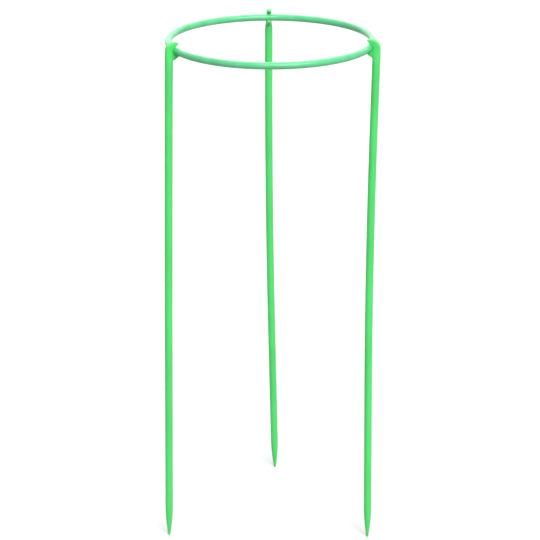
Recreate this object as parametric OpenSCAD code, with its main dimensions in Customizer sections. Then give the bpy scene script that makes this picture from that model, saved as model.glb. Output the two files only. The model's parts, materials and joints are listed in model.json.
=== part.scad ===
// Plant support: a round ring held up by three pointed stakes, each hooked on by the clip at its top.
// Millimetres, +Z up. The origin lies on the ground, in the middle of the space that the support takes up.

/* [Ring] */
// Diameter of the ring, across the middle of its round wire
ring_d = 150; // [110:1:220]
// Diameter of the ring's round wire
wire_d = 5.2; // [4.2:0.1:6]

/* [Stakes] */
// Length of a stake from the top of its clip to its point
stake_l = 400; // [300:1:600]
// Diameter of the round rod
rod_d = 6; // [5.4:0.1:7]
// Length of the straight neck of the rod below the ring
neck_l = 53; // [25:1:80]
// Length of the straight stretch that goes into the soil
soil_l = 100; // [40:1:140]
// Length of the pointed end
point_l = 27; // [15:1:40]
// Diameter of the blunt end of the point
blunt_d = 1.6; // [0.8:0.1:2.5]

/* [Clips] */
// Width of a clip along the wire
clip_w = 3.6; // [3:0.1:4.4]
// Play between the wire and the bore of its clip, on the radius
clip_play = 0.06; // [0.05:0.01:0.1]
// How deep the bore is sunk into the side of the rod
rod_bite = 0.4; // [0.2:0.1:1]
// Radius of the rounded crown of the clip
crown_r = 7.2; // [6.8:0.1:7.8]
// Depth of the middle of the crown's curve below the wire
crown_drop = 0.7; // [0.3:0.1:1]
// Thickness of the lower jaw at its lip
lip_t = 2; // [1.6:0.1:2.4]
// Step from the flat sides of the clip back to the sides of its lower jaw
lip_inset = 0.3; // [0.1:0.1:0.6]
// Depth of the heel of the lower jaw below the wire
heel_drop = 6.8; // [6:0.1:7.4]
// Size of the bevel on the edges of the bore
bore_bevel = 0.5; // [0.3:0.1:1.1]
// Depth of the flat sides of the clip below the wire
flat_drop = 3.2; // [2.6:0.1:4]
// Length of the slopes from the flat sides to the round rod
shoulder_l = 4; // [3:0.1:5]
// Place round the bore where the upper jaw leaves the wire, in degrees up from the rod
flare_from = 70; // [64:1:76]
// Slope of the flare under the upper jaw, in degrees
flare_slope = 42; // [40:1:54]
// Place round the bore where the lower jaw ends, in degrees down from the rod
lip_to = 146; // [142:1:150]
// Slope of the underside of the lower jaw, in degrees
under_slope = 43; // [38:1:48]

/* [Left stake] */
// Place round the ring, in degrees from the right
left_at = 205; // [190:0.5:230]
// Lean outwards, in degrees
left_lean = 1.4; // [-3:0.1:4]
// Turn of the bow, in degrees
left_bow = 1.3; // [0.3:0.1:4]
// Way that the bow bends, in degrees round the rod from straight outwards
left_way = 235; // [-180:1:360]

/* [Right stake] */
// Place round the ring, in degrees from the right
right_at = -17.5; // [-50:0.5:-10]
// Lean outwards, in degrees
right_lean = -0.9; // [-3:0.1:4]
// Turn of the bow, in degrees
right_bow = 3.6; // [0.3:0.1:4]
// Way that the bow bends, in degrees round the rod from straight outwards
right_way = -47; // [-180:1:360]

/* [Rear stake] */
// Place round the ring, in degrees from the right
rear_at = 91; // [70:0.5:110]
// Lean outwards, in degrees
rear_lean = 0.3; // [-3:0.1:4]
// Turn of the bow, in degrees
rear_bow = 1.4; // [0.3:0.1:4]
// Way that the bow bends, in degrees round the rod from straight outwards
rear_way = -70; // [-180:1:360]

/* [Hidden] */
$fn = 96;

// Overrun of every cut
over = 1;
// Overlap of the stretches of a rod
lap = 2;
// Step on the radius between the straight stretches of a rod and its bowed one
rod_step = 0.02;
// Steps along the point, and the power of its curve
point_steps = 12;
point_power = 1.9;
// Where the underside of the lower jaw leaves its round lip, in degrees round the wire
under_from = 246;
// How far inside the bore the flare starts, as a share of the bore's radius
flare_in_share = 0.125;
// How far the curve of the crown runs out past the rod
crown_out = 0.3;

// Radii, and the rod's distance out from the wire
ring_r = ring_d / 2;
wire_r = wire_d / 2;
rod_r = rod_d / 2;
bore_r = wire_r + clip_play;
lip_r = bore_r + lip_t;
rod_out = bore_r + rod_r - rod_bite;
crown_x = rod_out + rod_r + crown_out - crown_r;
crown_top = crown_r - crown_drop;

// Lengths along a stake: below the wire, and of its bowed stretch
hang_l = stake_l - crown_top;
bow_l = hang_l - neck_l - soil_l - point_l;

// Place, lean, bow and way of each stake
LEFT = [left_at, left_lean, left_bow, left_way];
RIGHT = [right_at, right_lean, right_bow, right_way];
REAR = [rear_at, rear_lean, rear_bow, rear_way];
STAKES = [LEFT, RIGHT, REAR];

// The bowed stretch is an arc: its radius, and how far it goes aside and down
function bow_r(s) = bow_l / (s[2] * PI / 180);
function bow_aside(s) = bow_r(s) * (1 - cos(s[2]));
function bow_down(s) = bow_r(s) * sin(s[2]);

// The point of a stake, seen from the wire in its clip before the stake leans
function point_aside(s) = bow_aside(s) + (soil_l + point_l) * sin(s[2]);
function point_down(s) = neck_l + bow_down(s) + (soil_l + point_l) * cos(s[2]);
function point_place(s) = [
    rod_out + point_aside(s) * cos(s[3]),
    point_aside(s) * sin(s[3]),
    -point_down(s)
];

// A place near a clip, seen from the middle of the ring once its stake leans
function from_ring(s, p) =
    let (out = ring_r + p.x * cos(s[1]) - p.z * sin(s[1]))
    [
        out * cos(s[0]) - p.y * sin(s[0]),
        out * sin(s[0]) + p.y * cos(s[0]),
        p.x * sin(s[1]) + p.z * cos(s[1])
    ];

// Both ends of every rod, for the height of the ring and the middle of the space taken up
ENDS = [for (s = STAKES) for (p = [[rod_out, 0, 0], point_place(s)]) from_ring(s, p)];
ring_z = -min([for (p = ENDS) p.z]);
function middle(v) = (max(v) + min(v)) / 2;
function reach(axis) = concat(
    [ring_r + wire_r, -ring_r - wire_r],
    [for (p = ENDS) for (side = [-1, 1]) p[axis] + side * rod_r]
);
ring_place = [-middle(reach(0)), -middle(reach(1)), ring_z];

// A flat outline in the plane of the rod and the wire's middle, as thick as w along the wire
module slab(points, w) {
    rotate([90, 0, 0])
        linear_extrude(height = w, center = true)
            polygon(points);
}

// A round bar along the wire
module bar_along_wire(r, w) {
    rotate([90, 0, 0])
        cylinder(r = r, h = w, center = true);
}

// The upper jaw, before the crown is rounded and the bore and the mouth are cut
module upper_jaw_blank() {
    slab([
        [-crown_r, 0],
        [rod_out, 0],
        [rod_out, crown_top + over],
        [-crown_r, crown_top + over]
    ], (clip_w + rod_d) / 2);
}

// The lower jaw from its round lip to its heel at the rod, before the bore and the mouth are cut
module lower_jaw_blank() {
    w = clip_w - 2 * lip_inset;
    start = lip_r * [cos(under_from), sin(under_from)];
    back = lip_t / 2;
    fall = tan(under_slope);
    bar_along_wire(lip_r, w);
    slab([
        start + back * [-1, fall],
        [start.x + (heel_drop + start.y) / fall, -heel_drop],
        [rod_out, -heel_drop],
        [rod_out, over],
        [start.x - back, over]
    ], w);
}

// The neck of the rod, carried up past the crown
module neck_blank() {
    translate([rod_out, 0, -neck_l - lap])
        cylinder(r = rod_r, h = neck_l + lap + crown_top + over);
}

// Everything under the rounded crown
module under_crown() {
    w = rod_d + 2 * over;
    depth = neck_l + lap + over;
    translate([crown_x, 0, -crown_drop])
        bar_along_wire(crown_r, w);
    translate([-crown_r, -w / 2, -depth])
        cube([2 * crown_r + rod_out + rod_d, w, depth]);
}

// Everything between the clip's flat sides, which slope out to the round rod
module between_sides() {
    flat = clip_w / 2;
    wide = rod_r + over;
    slope_l = shoulder_l * (wide - flat) / (rod_r - flat);
    depth = neck_l + lap + over;
    side = [
        [wide, -depth],
        [wide, -flat_drop - slope_l],
        [flat, -flat_drop],
        [flat, crown_top + over]
    ];
    other_side = [for (i = [len(side) - 1 : -1 : 0]) [-side[i].x, side[i].y]];
    translate([-crown_r, 0, 0])
        rotate([90, 0, 90])
            linear_extrude(height = 2 * crown_r + rod_out + rod_d)
                polygon(concat(side, other_side));
}

// The bore for the wire, with its bevelled edges
module bore_cut() {
    flat = clip_w / 2;
    rotate([90, 0, 0])
        rotate_extrude()
            polygon([
                [0, -flat - over],
                [bore_r + bore_bevel + over, -flat - over],
                [bore_r, bore_bevel - flat],
                [bore_r, flat - bore_bevel],
                [bore_r + bore_bevel + over, flat + over],
                [0, flat + over]
            ]);
}

// The mouth of the clip, from the flare under the upper jaw down to the lip of the lower one
module mouth_cut() {
    far = 2 * crown_r;
    inside = flare_in_share * bore_r;
    flare = [-cos(flare_slope), sin(flare_slope)];
    leave = bore_r * [cos(flare_from), sin(flare_from)];
    slab([
        [0, 0],
        leave - inside * flare,
        leave + far * flare,
        [-far - crown_r, leave.y + far * flare.y],
        [-far - crown_r, 0],
        far * [cos(lip_to), -sin(lip_to)]
    ], rod_d + 2 * over);
}

// The clip and the neck of its rod, as one moulding
module clip_and_neck() {
    difference() {
        intersection() {
            union() {
                neck_blank();
                upper_jaw_blank();
                lower_jaw_blank();
            }
            under_crown();
            between_sides();
        }
        bore_cut();
        mouth_cut();
    }
}

// The bowed stretch of the rod, which leaves the neck straight down
module bowed_stretch(s) {
    translate([bow_r(s), 0, -neck_l])
        rotate([90, 180, 0])
            rotate_extrude(angle = s[2], $fn = 720)
                translate([bow_r(s), 0])
                    circle(r = rod_r - rod_step, $fn = 96);
}

// The straight stretch that goes into the soil, and the point with its blunt end
module soil_stretch() {
    blunt_share = blunt_d / rod_d;
    point = [
        for (i = [1 : point_steps])
            let (along = i / point_steps)
            let (thin = (1 - blunt_share) * pow(along, point_power))
            [rod_r * (1 - thin), -soil_l - point_l * along]
    ];
    rotate_extrude()
        polygon(concat(
            [[0, lap], [rod_r, lap], [rod_r, -soil_l]],
            point,
            [[0, -soil_l - point_l]]
        ));
}

// One whole stake, hooked on the ring at its place
module stake(s) {
    translate(ring_place)
        rotate([0, 0, s[0]])
            translate([ring_r, 0, 0])
                rotate([0, -s[1], 0]) {
                    clip_and_neck();
                    translate([rod_out, 0, 0])
                        rotate([0, 0, s[3]]) {
                            bowed_stretch(s);
                            translate([bow_aside(s), 0, -neck_l - bow_down(s)])
                                rotate([0, -s[2], 0])
                                    soil_stretch();
                        }
                }
}

module support_ring() {
    color("#7fe0ab")
        translate(ring_place)
            rotate_extrude()
                translate([ring_r, 0])
                    circle(r = wire_r);
}

module left_stake() {
    color("#55d873")
        stake(LEFT);
}

module right_stake() {
    color("#55d873")
        stake(RIGHT);
}

module rear_stake() {
    color("#55d873")
        stake(REAR);
}

support_ring();
left_stake();
right_stake();
rear_stake();
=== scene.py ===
"""Looks of a plant support: a round ring held up by three pointed stakes, each hooked on by its clip.

Everything is in metres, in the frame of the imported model.
"""
import json
import math

import bpy
import numpy as np
from mathutils import Matrix, Vector

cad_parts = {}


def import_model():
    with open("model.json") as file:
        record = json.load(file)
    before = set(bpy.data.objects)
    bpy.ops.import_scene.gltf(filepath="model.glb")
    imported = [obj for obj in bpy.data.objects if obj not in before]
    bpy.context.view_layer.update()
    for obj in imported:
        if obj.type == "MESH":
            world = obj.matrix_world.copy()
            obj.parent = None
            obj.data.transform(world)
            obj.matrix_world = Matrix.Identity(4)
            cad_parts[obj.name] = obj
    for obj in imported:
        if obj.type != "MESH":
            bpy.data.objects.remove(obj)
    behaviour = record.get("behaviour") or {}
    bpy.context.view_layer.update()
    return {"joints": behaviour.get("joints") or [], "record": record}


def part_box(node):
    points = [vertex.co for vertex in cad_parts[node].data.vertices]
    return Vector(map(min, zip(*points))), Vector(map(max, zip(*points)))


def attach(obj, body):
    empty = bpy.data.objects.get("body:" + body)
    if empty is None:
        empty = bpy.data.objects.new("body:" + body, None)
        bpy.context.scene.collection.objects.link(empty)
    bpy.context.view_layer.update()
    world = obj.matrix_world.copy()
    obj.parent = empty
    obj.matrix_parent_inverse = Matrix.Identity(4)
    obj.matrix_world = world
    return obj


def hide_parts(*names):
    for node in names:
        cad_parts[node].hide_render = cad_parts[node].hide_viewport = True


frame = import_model()
joints = {joint["name"]: joint for joint in frame["joints"]}
mounts = {mount["name"]: mount for mount in frame["record"]["mounts"]}

MM = 0.001
SIDES = ("left", "right", "rear")

# The ring, as its solid has it, and the faces of its mesh round the ring and round its wire
ring_low, ring_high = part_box("support_ring")
RING_MIDDLE = (ring_low + ring_high) / 2
WIRE_R = (ring_high.z - ring_low.z) / 2
RING_R = (ring_high.x - ring_low.x) / 2 - WIRE_R
RING_FACES = 288
WIRE_FACES = 56

# The rods: their stretches from the clip down to the point with its blunt end
ROD_R = mounts["left_soil_end"]["dims"]["r_mm"] * MM
NECK_L = 53 * MM
SOIL_L = 100 * MM
POINT_L = 27 * MM
POINT_POWER = 1.9
BLUNT_R = 0.8 * MM
BLUNT_L = BLUNT_R / 2

# How far each stake leans outwards, in degrees
LEANS = {"left": 1.4, "right": -0.9, "rear": 0.3}

# Rings of a rod's mesh along its neck, its bow, its soil end, its point and the blunt end
NECK_RINGS = 8
BOW_RINGS = 32
SOIL_RINGS = 16
POINT_RINGS = 24
BLUNT_RINGS = 5

# The clips
CLIP_W = 3.6 * MM
CLIP_PLAY = 0.06 * MM
ROD_BITE = 0.4 * MM
CROWN_R = 7.2 * MM
CROWN_DROP = 0.7 * MM
CROWN_OUT = 0.3 * MM
LIP_T = 2 * MM
LIP_INSET = 0.3 * MM
HEEL_DROP = 6.8 * MM
BORE_BEVEL = 0.5 * MM
FLAT_DROP = 3.2 * MM
SHOULDER_L = 4 * MM
FLAT = CLIP_W / 2
BORE_R = WIRE_R + CLIP_PLAY
LIP_R = BORE_R + LIP_T
ROD_OUT = BORE_R + ROD_R - ROD_BITE
CROWN_X = ROD_OUT + ROD_R + CROWN_OUT - CROWN_R
FLARE_FROM = math.radians(70)
FLARE_SLOPE = math.radians(42)
LIP_TO = math.radians(146)
UNDER_FROM = math.radians(246)
UNDER_SLOPE = math.radians(43)

# Roundings of the moulding, and the fine ridge that the two halves of the mould leave
SOFT_WEB = 0.7 * MM
SOFT_JAW = 1 * MM
SOFT_EDGE = 1.1 * MM
SOFT_BORE = 0.5 * MM
SOFT_MOUTH = 0.8 * MM
RIDGE_H = 0.04 * MM
RIDGE_W = 0.16 * MM

# The net of a clip: the width of its squares, and its box, which puts a row of points on the parting plane
NET_STEP = 0.25 * MM
NET_LOW = np.array((-5, -3.625, -14)) * MM
NET_HIGH = np.array((9, 3.5, 8)) * MM

# Laying the net on the shape: rounds of evening out, each with steps along the slope of the distance.
# The slope is measured over a short way, and its square is taken as no less than a least value.
EVEN_ROUNDS = 12
SETTLE_STEPS = 2
PROBE = 0.005 * MM
LEAST_SLOPE_SQUARE = 0.1

# The plastic: how it bends and scatters light, the clouds in its colour and gloss, and its surface's grain
PLASTIC_IOR = 1.49
SCATTER_WEIGHT = 0.15
SCATTER_RADIUS = (0.6, 1.0, 0.7)
SCATTER_SCALE = 0.6 * MM
CLOUD_STRETCH = (1, 1, 0.25)
CLOUD_SCALE = 90
CLOUD_DETAIL = 4
CLOUD_STOPS = (0.3, 0.7)
CLOUD_ROUGHNESS = (0.2, 0.26)
GRAIN_SCALE = 1400
GRAIN_DETAIL = 3
GRAIN_STRENGTH = 0.25
GRAIN_DEPTH = 0.04 * MM

# The darker and the lighter green of the ring and of the stakes. The ring's greens are paler and bluer than
# the stakes': partly the ring's own tint, partly painted sheen standing in for the pale highlight along its
# top
RING_GREENS = ((0.1, 0.59, 0.245), (0.12, 0.67, 0.285))
STAKE_GREENS = ((0.062, 0.71, 0.14), (0.076, 0.79, 0.16))

# The studio: half the floor's width, its finish, and the levels at which floor and world light and are seen
FLOOR_HALF = 8
FLOOR_ROUGHNESS = 0.9
FLOOR_LEVELS = (0.25, 0.87)
WORLD_LEVELS = (0.22, 1)

# Lamps: degrees round from the front to the right, degrees up, spread in degrees, and level
LAMPS = {
    "top_light": (180, 70, 40, 0.25),
    "front_light": (20, 42, 48, 1.06),
    "back_light": (180, 12, 90, 0.5),
}

# The photograph's camera: where it stands from the ring, where it aims and its focal length
VIEW_DISTANCE = 1.301
VIEW_ELEVATION = math.radians(13.55)
VIEW_PITCH = math.radians(20.988)
VIEW_YAW = math.radians(0.018)
IMAGE_PX = 540
FOCAL_PX = 1758.9
SENSOR_W = 36


def new_object(name, data):
    """An object with some data, in the scene."""
    made = bpy.data.objects.new(name, data)
    bpy.context.scene.collection.objects.link(made)
    return made


def new_mesh(name, points, faces, material):
    """A smooth mesh object from points in the model's frame, and faces that are turned outwards."""
    mesh = bpy.data.meshes.new(name)
    mesh.from_pydata([tuple(p) for p in points], [], [tuple(int(i) for i in f) for f in faces])
    mesh.polygons.foreach_set("use_smooth", [True] * len(mesh.polygons))
    mesh.materials.append(material)
    mesh.update()
    return new_object(name, mesh)


def ridge(aside):
    """How far the surface lies inside its full size, at a distance aside from the mould's parting plane."""
    return RIDGE_H * (1 - np.exp(-((aside / RIDGE_W) ** 2)))


def soft_union(a, b, blend):
    """The union of two shapes given by distance, with the inner corner filled over the width of blend."""
    near = np.maximum(blend - np.abs(a - b), 0) / blend
    return np.minimum(a, b) - near * near * blend / 4


def soft_common(a, b, blend):
    """What two shapes given by distance share, with the outer corner rounded over the width of blend."""
    return -soft_union(-a, -b, blend)


def lower_jaw(x, y, z):
    """Distance from the lower jaw: a round lip under the wire, and a web down to the heel at the rod."""
    start_x = LIP_R * math.cos(UNDER_FROM)
    start_z = LIP_R * math.sin(UNDER_FROM)
    under = -math.sin(UNDER_SLOPE) * (x - start_x) - math.cos(UNDER_SLOPE) * (z - start_z)
    heel = soft_common(under, -z - HEEL_DROP, SOFT_EDGE)
    web = np.maximum(np.maximum(heel, start_x - LIP_T / 2 - x), np.maximum(x - ROD_OUT, z))
    jaw = soft_union(np.hypot(x, z) - LIP_R, web, SOFT_EDGE)
    return soft_common(jaw, np.abs(y) - (FLAT - LIP_INSET), SOFT_JAW)


def between_sides(y, z):
    """Distance from the space between the clip's flat sides, which slope out to the round rod."""
    slope = math.atan2(ROD_R - FLAT, SHOULDER_L)
    shoulder = math.cos(slope) * (np.abs(y) - FLAT) + math.sin(slope) * (z + FLAT_DROP)
    return soft_union(np.abs(y) - FLAT, shoulder, SOFT_EDGE)


def mouth(x, z):
    """Distance from the mouth, from the flare under the upper jaw down to the lip of the lower one."""
    leave_x = BORE_R * math.cos(FLARE_FROM)
    leave_z = BORE_R * math.sin(FLARE_FROM)
    flare = math.sin(FLARE_SLOPE) * (x - leave_x) + math.cos(FLARE_SLOPE) * (z - leave_z)
    lip = math.sin(LIP_TO) * x + math.cos(LIP_TO) * z
    back = math.sin(FLARE_FROM) * x - math.cos(FLARE_FROM) * z
    return np.maximum(np.maximum(flare, lip), back)


def clip_distance(x, y, z):
    """Distance from a clip and its neck, where x runs outwards from the wire, y along it and z up."""
    rod = np.hypot(x - ROD_OUT, y) - ROD_R
    upper_jaw = np.maximum(-z, x - ROD_OUT)
    body = np.minimum(soft_union(rod, lower_jaw(x, y, z), SOFT_WEB), upper_jaw)
    crown = np.minimum(np.hypot(x - CROWN_X, z + CROWN_DROP) - CROWN_R, z)
    body = soft_common(body, crown, SOFT_EDGE)
    body = soft_common(body, between_sides(y, z), SOFT_EDGE)

    # The wire's surface lies in by the height of its ridge, so the bore's does too, and the play stays
    funnel = np.maximum(np.abs(y) - (FLAT - BORE_BEVEL), 0)
    around_bore = BORE_R - RIDGE_H + funnel - np.hypot(x, z)
    body = soft_common(body + ridge(y), around_bore, SOFT_BORE)
    return soft_common(body, -mouth(x, z), SOFT_MOUTH)


def settle(distance, points):
    """Moves points along the slope of a distance onto the surface where it is zero."""
    for _ in range(SETTLE_STEPS):
        here = distance(*points.T)
        slope = np.stack(
            [
                (distance(*(points + step).T) - distance(*(points - step).T)) / (2 * PROBE)
                for step in np.eye(3) * PROBE
            ],
            axis=1,
        )
        square = np.maximum((slope**2).sum(1), LEAST_SLOPE_SQUARE)
        points = points - (here / square)[:, None] * slope
    return points


def net_around(distance, low, high, step):
    """A net of squares around the shape given by a distance, open where the shape leaves the box."""
    axes = [np.arange(a, b, step) for a, b in zip(low, high)]
    inside = (distance(*np.meshgrid(*axes, indexing="ij")) < 0).astype(int)
    count = sum(
        inside[i : i - 1 or None, j : j - 1 or None, k : k - 1 or None]
        for i in (0, 1)
        for j in (0, 1)
        for k in (0, 1)
    )
    mixed = (count > 0) & (count < 8)
    number = np.full(mixed.shape, -1)
    number[mixed] = np.arange(mixed.sum())
    points = low + (np.argwhere(mixed) + 0.5) * step

    squares = []
    for axis in range(3):
        a, b = np.eye(3, dtype=int)[[(axis + 1) % 3, (axis + 2) % 3]]
        leaves = np.diff(inside, axis=axis)
        for sign in (-1, 1):
            edge = np.argwhere(leaves == sign)
            has_room = (edge > 0) & (edge < np.array(inside.shape) - 1)
            edge = edge[(has_room | (a + b == 0)).all(1)]
            turn = [edge - a - b, edge - b, edge, edge - a][:: -sign]
            squares.append(np.stack([number[tuple(cell.T)] for cell in turn], axis=1))
    return points, np.concatenate(squares)


def rod_section(count):
    """Angles round a rod from straight outwards, and the section's distance from its middle there."""
    angles = np.arange(count) * 2 * math.pi / count
    return angles, ROD_R - ridge(ROD_R * np.sin(angles))


def open_rim(points):
    """The points round the open end of a clip's net, in order, and their places on the rod's section."""
    bottom = points[:, 2].min()
    rim = np.flatnonzero(points[:, 2] < bottom + NET_STEP / 2)
    turn = np.arctan2(points[rim, 1], points[rim, 0] - ROD_OUT)
    rim = rim[np.argsort(np.mod(turn + math.pi / len(rim), 2 * math.pi))]
    angles, radii = rod_section(len(rim))
    x = ROD_OUT + radii * np.cos(angles)
    y = radii * np.sin(angles)
    return rim, np.stack([x, y, np.full(len(rim), bottom)], axis=1)


def even_out(points, squares, distance):
    """Lays a clip's net on its shape with even squares, and its open rim on the rod's section."""
    rim, section = open_rim(points)
    pairs = np.concatenate([squares[:, [i, (i + 1) % 4]] for i in range(4)])
    pairs = np.concatenate([pairs, pairs[:, ::-1]])
    degree = np.bincount(pairs[:, 0], minlength=len(points))[:, None]
    points = settle(distance, points)
    for _ in range(EVEN_ROUNDS):
        mean = np.zeros_like(points)
        np.add.at(mean, pairs[:, 0], points[pairs[:, 1]])
        points = settle(distance, (points + mean / degree) / 2)
        points[rim] = section
    return points, rim


def clip_net():
    """The net of a clip and the top of its neck in the clip's own frame, and its open rim in order."""
    points, squares = net_around(clip_distance, NET_LOW, NET_HIGH, NET_STEP)
    points, rim = even_out(points, squares, clip_distance)
    return points, squares, rim


def clip_frame(side):
    """From a clip's own frame, on the wire with x outwards, y along it and z up the neck, to the model's."""
    middle = Vector(joints[f"{side}_swing"]["pos_m"])
    out = (middle - RING_MIDDLE) * Vector((1, 1, 0))
    turn = Matrix.Rotation(math.atan2(out.y, out.x), 4, "Z")
    lean = Matrix.Rotation(-math.radians(LEANS[side]), 4, "Y")
    return Matrix.Translation(middle) @ turn @ lean


def shares(count):
    """How far along a stretch each of its rings lies, from the one after its start to the one at its end."""
    return np.linspace(0, 1, count + 1)[1:]


def bow_place(start, start_way, end, end_way, t):
    """The place a share t along a bowed stretch, which leaves its start and meets its end in given ways."""
    handle = (end - start).length / 3
    one = start + start_way * handle
    two = end - end_way * handle
    return start * (1 - t) ** 3 + one * 3 * t * (1 - t) ** 2 + two * 3 * t * t * (1 - t) + end * t**3


def point_sections():
    """Depths along the point, short of its tip, and the share of the rod's section that is left at each."""
    taper_l = POINT_L - BLUNT_L
    sections = []
    for t in shares(POINT_RINGS):
        along = t * taper_l / POINT_L
        sections.append((along * POINT_L, 1 - (1 - BLUNT_R / ROD_R) * along**POINT_POWER))
    last_share = sections[-1][1]
    for turn in np.linspace(0, math.pi / 2, BLUNT_RINGS + 2)[1:-1]:
        sections.append((taper_l + BLUNT_L * math.sin(turn), last_share * math.cos(turn)))
    return sections


def rod_line(side, top):
    """Rings down a rod, each a place, the way that it runs there and a share of its section, and its tip."""
    place = clip_frame(side)
    down = -(place.to_3x3() @ Vector((0, 0, 1)))
    start = place @ Vector((ROD_OUT, 0, top))
    neck_end = place @ Vector((ROD_OUT, 0, -NECK_L))
    pin = mounts[f"{side}_soil_end"]
    way = Vector(pin["axis"]).normalized()
    soil_top = Vector(pin["pos_m"]) - way * SOIL_L / 2
    soil_end = Vector(pin["pos_m"]) + way * SOIL_L / 2

    rings = [(start.lerp(neck_end, t), down, 1) for t in shares(NECK_RINGS)]
    for t in shares(BOW_RINGS):
        at = bow_place(neck_end, down, soil_top, way, t)
        rings.append((at, down.lerp(way, t).normalized(), 1))
    rings += [(soil_top.lerp(soil_end, t), way, 1) for t in shares(SOIL_RINGS)]
    rings += [(soil_end + way * depth, way, share) for depth, share in point_sections()]
    return rings, soil_end + way * POINT_L


def neighbours(ring):
    """Each corner of a closed ring with the next one."""
    return list(zip(ring, ring[1:] + ring[:1]))


def stake(side, net, material):
    """One stake: the net of its clip, carried on down the rod to the point."""
    points, squares, rim = net
    place = clip_frame(side)
    rings, tip = rod_line(side, points[rim[0], 2])
    angles, radii = rod_section(len(rim))
    outward = place.to_3x3() @ Vector((1, 0, 0))

    verts = [place @ Vector(p) for p in points]
    faces = list(squares)
    above = list(rim)
    for at, way, share in rings:
        across = (outward - way * outward.dot(way)).normalized()
        beside = across.cross(way)
        below = list(range(len(verts), len(verts) + len(rim)))
        for angle, radius in zip(angles, radii):
            spoke = across * math.cos(angle) + beside * math.sin(angle)
            verts.append(at + spoke * radius * share)
        for (a, b), (c, d) in zip(neighbours(above), neighbours(below)):
            faces.append((a, c, d, b))
        above = below
    faces += [(a, len(verts), b) for a, b in neighbours(above)]
    verts.append(tip)

    piece = new_mesh(f"{side}_stake_moulding", verts, faces, material)
    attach(piece, f"stake_{side}")
    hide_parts(f"{side}_stake")


def support_ring(material):
    """The ring: a round wire with the mould's parting line along its outside and its inside."""
    verts, faces = [], []
    for i in range(RING_FACES):
        turn = 2 * math.pi * i / RING_FACES
        here = i * WIRE_FACES
        ahead = (i + 1) % RING_FACES * WIRE_FACES
        for k in range(WIRE_FACES):
            angle = 2 * math.pi * k / WIRE_FACES
            radius = WIRE_R - float(ridge(WIRE_R * math.sin(angle)))
            out = RING_R + radius * math.cos(angle)
            up = radius * math.sin(angle)
            verts.append(RING_MIDDLE + Vector((out * math.cos(turn), out * math.sin(turn), up)))
            following = (k + 1) % WIRE_FACES
            faces.append((here + k, ahead + k, ahead + following, here + following))

    piece = new_mesh("ring_moulding", verts, faces, material)
    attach(piece, "ring")
    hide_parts("support_ring")


def new_material(name):
    """A material with its nodes, its links and its shader."""
    material = bpy.data.materials.new(name)
    material.use_nodes = True
    nodes = material.node_tree.nodes
    return material, nodes, material.node_tree.links, nodes["Principled BSDF"]


def noise(nodes, scale, detail):
    """A soft noise in space."""
    made = nodes.new("ShaderNodeTexNoise")
    made.inputs["Scale"].default_value = scale
    made.inputs["Detail"].default_value = detail
    return made


def between(nodes, links, share, low, high):
    """A value that goes from low to high as a share goes from 0 to 1."""
    made = nodes.new("ShaderNodeMapRange")
    made.inputs["To Min"].default_value = low
    made.inputs["To Max"].default_value = high
    links.new(share, made.inputs["Value"])
    return made.outputs["Result"]


def plastic(name, shade, light):
    """Moulded plastic: colour and gloss that cloud and streak a little, and a fine grain in its surface."""
    material, nodes, links, shader = new_material(name)
    shader.inputs["IOR"].default_value = PLASTIC_IOR
    shader.inputs["Subsurface Weight"].default_value = SCATTER_WEIGHT
    shader.inputs["Subsurface Radius"].default_value = SCATTER_RADIUS
    shader.inputs["Subsurface Scale"].default_value = SCATTER_SCALE

    where = nodes.new("ShaderNodeTexCoord")
    streaks = nodes.new("ShaderNodeMapping")
    streaks.inputs["Scale"].default_value = CLOUD_STRETCH
    links.new(where.outputs["Object"], streaks.inputs["Vector"])
    clouds = noise(nodes, CLOUD_SCALE, CLOUD_DETAIL)
    links.new(streaks.outputs["Vector"], clouds.inputs["Vector"])

    colours = nodes.new("ShaderNodeValToRGB")
    colours.color_ramp.interpolation = "EASE"
    for stop, position, colour in zip(colours.color_ramp.elements, CLOUD_STOPS, (shade, light)):
        stop.position = position
        stop.color = (*colour, 1)
    links.new(clouds.outputs["Fac"], colours.inputs["Fac"])
    links.new(colours.outputs["Color"], shader.inputs["Base Color"])
    gloss = between(nodes, links, clouds.outputs["Fac"], *CLOUD_ROUGHNESS)
    links.new(gloss, shader.inputs["Roughness"])

    grain = noise(nodes, GRAIN_SCALE, GRAIN_DETAIL)
    links.new(where.outputs["Object"], grain.inputs["Vector"])
    bump = nodes.new("ShaderNodeBump")
    bump.inputs["Strength"].default_value = GRAIN_STRENGTH
    bump.inputs["Distance"].default_value = GRAIN_DEPTH
    links.new(grain.outputs["Fac"], bump.inputs["Height"])
    links.new(bump.outputs["Normal"], shader.inputs["Normal"])
    return material


def seen_directly(nodes, links):
    """1 for rays from the camera, and for those that gloss or glass sends on, and 0 for the rest."""
    path = nodes.new("ShaderNodeLightPath")
    seen = path.outputs["Is Camera Ray"]
    for kind in ("Is Glossy Ray", "Is Transmission Ray"):
        either = nodes.new("ShaderNodeMath")
        either.operation = "MAXIMUM"
        links.new(seen, either.inputs[0])
        links.new(path.outputs[kind], either.inputs[1])
        seen = either.outputs[0]
    return seen


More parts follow.
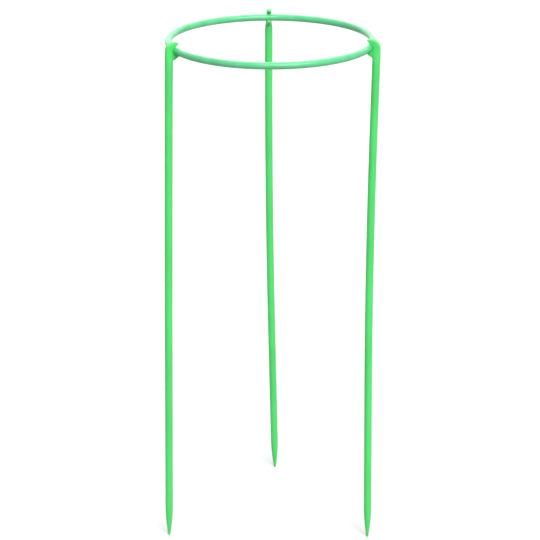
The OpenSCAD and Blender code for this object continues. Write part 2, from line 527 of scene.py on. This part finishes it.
def floor():
    """A plain pale floor, which keeps the shadow."""
    material, nodes, links, shader = new_material("floor_white")
    shader.inputs["Roughness"].default_value = FLOOR_ROUGHNESS
    shader.inputs["Specular IOR Level"].default_value = 0
    shade = between(nodes, links, seen_directly(nodes, links), *FLOOR_LEVELS)
    links.new(shade, shader.inputs["Base Color"])
    corners = [(x * FLOOR_HALF, y * FLOOR_HALF, 0) for x, y in ((-1, -1), (1, -1), (1, 1), (-1, 1))]
    new_mesh("floor", corners, [range(len(corners))], material)


def world():
    """Soft light from all round, seen as plain white."""
    made = bpy.data.worlds.new("white_studio")
    made.use_nodes = True
    nodes, links = made.node_tree.nodes, made.node_tree.links
    background = nodes["Background"]
    background.inputs["Color"].default_value = (1, 1, 1, 1)
    strength = between(nodes, links, seen_directly(nodes, links), *WORLD_LEVELS)
    links.new(strength, background.inputs["Strength"])
    bpy.context.scene.world = made


def soft_sun(name, azimuth, elevation, spread, level):
    """Even soft light from one side of the sky. A matt white face turned to it shows its level."""
    lamp = bpy.data.lights.new(name, "SUN")
    lamp.angle = math.radians(spread)
    lamp.energy = math.pi * level
    new_object(name, lamp).rotation_euler = (math.radians(90 - elevation), 0, math.radians(azimuth))


def camera():
    """The photograph's camera."""
    lens = bpy.data.cameras.new("camera")
    lens.sensor_width = SENSOR_W
    lens.lens = SENSOR_W * FOCAL_PX / IMAGE_PX
    holder = new_object("camera", lens)
    away = Vector((0, -math.cos(VIEW_ELEVATION), math.sin(VIEW_ELEVATION)))
    holder.location = RING_MIDDLE + away * VIEW_DISTANCE
    holder.rotation_euler = (math.pi / 2 - VIEW_PITCH, 0, VIEW_YAW)
    bpy.context.scene.camera = holder


camera()
ring_plastic = plastic("ring_plastic", *RING_GREENS)
stake_plastic = plastic("stake_plastic", *STAKE_GREENS)
support_ring(ring_plastic)
net = clip_net()
for side in SIDES:
    stake(side, net, stake_plastic)

floor()
world()
for name, settings in LAMPS.items():
    soft_sun(name, *settings)
bpy.context.scene.view_settings.view_transform = "Standard"
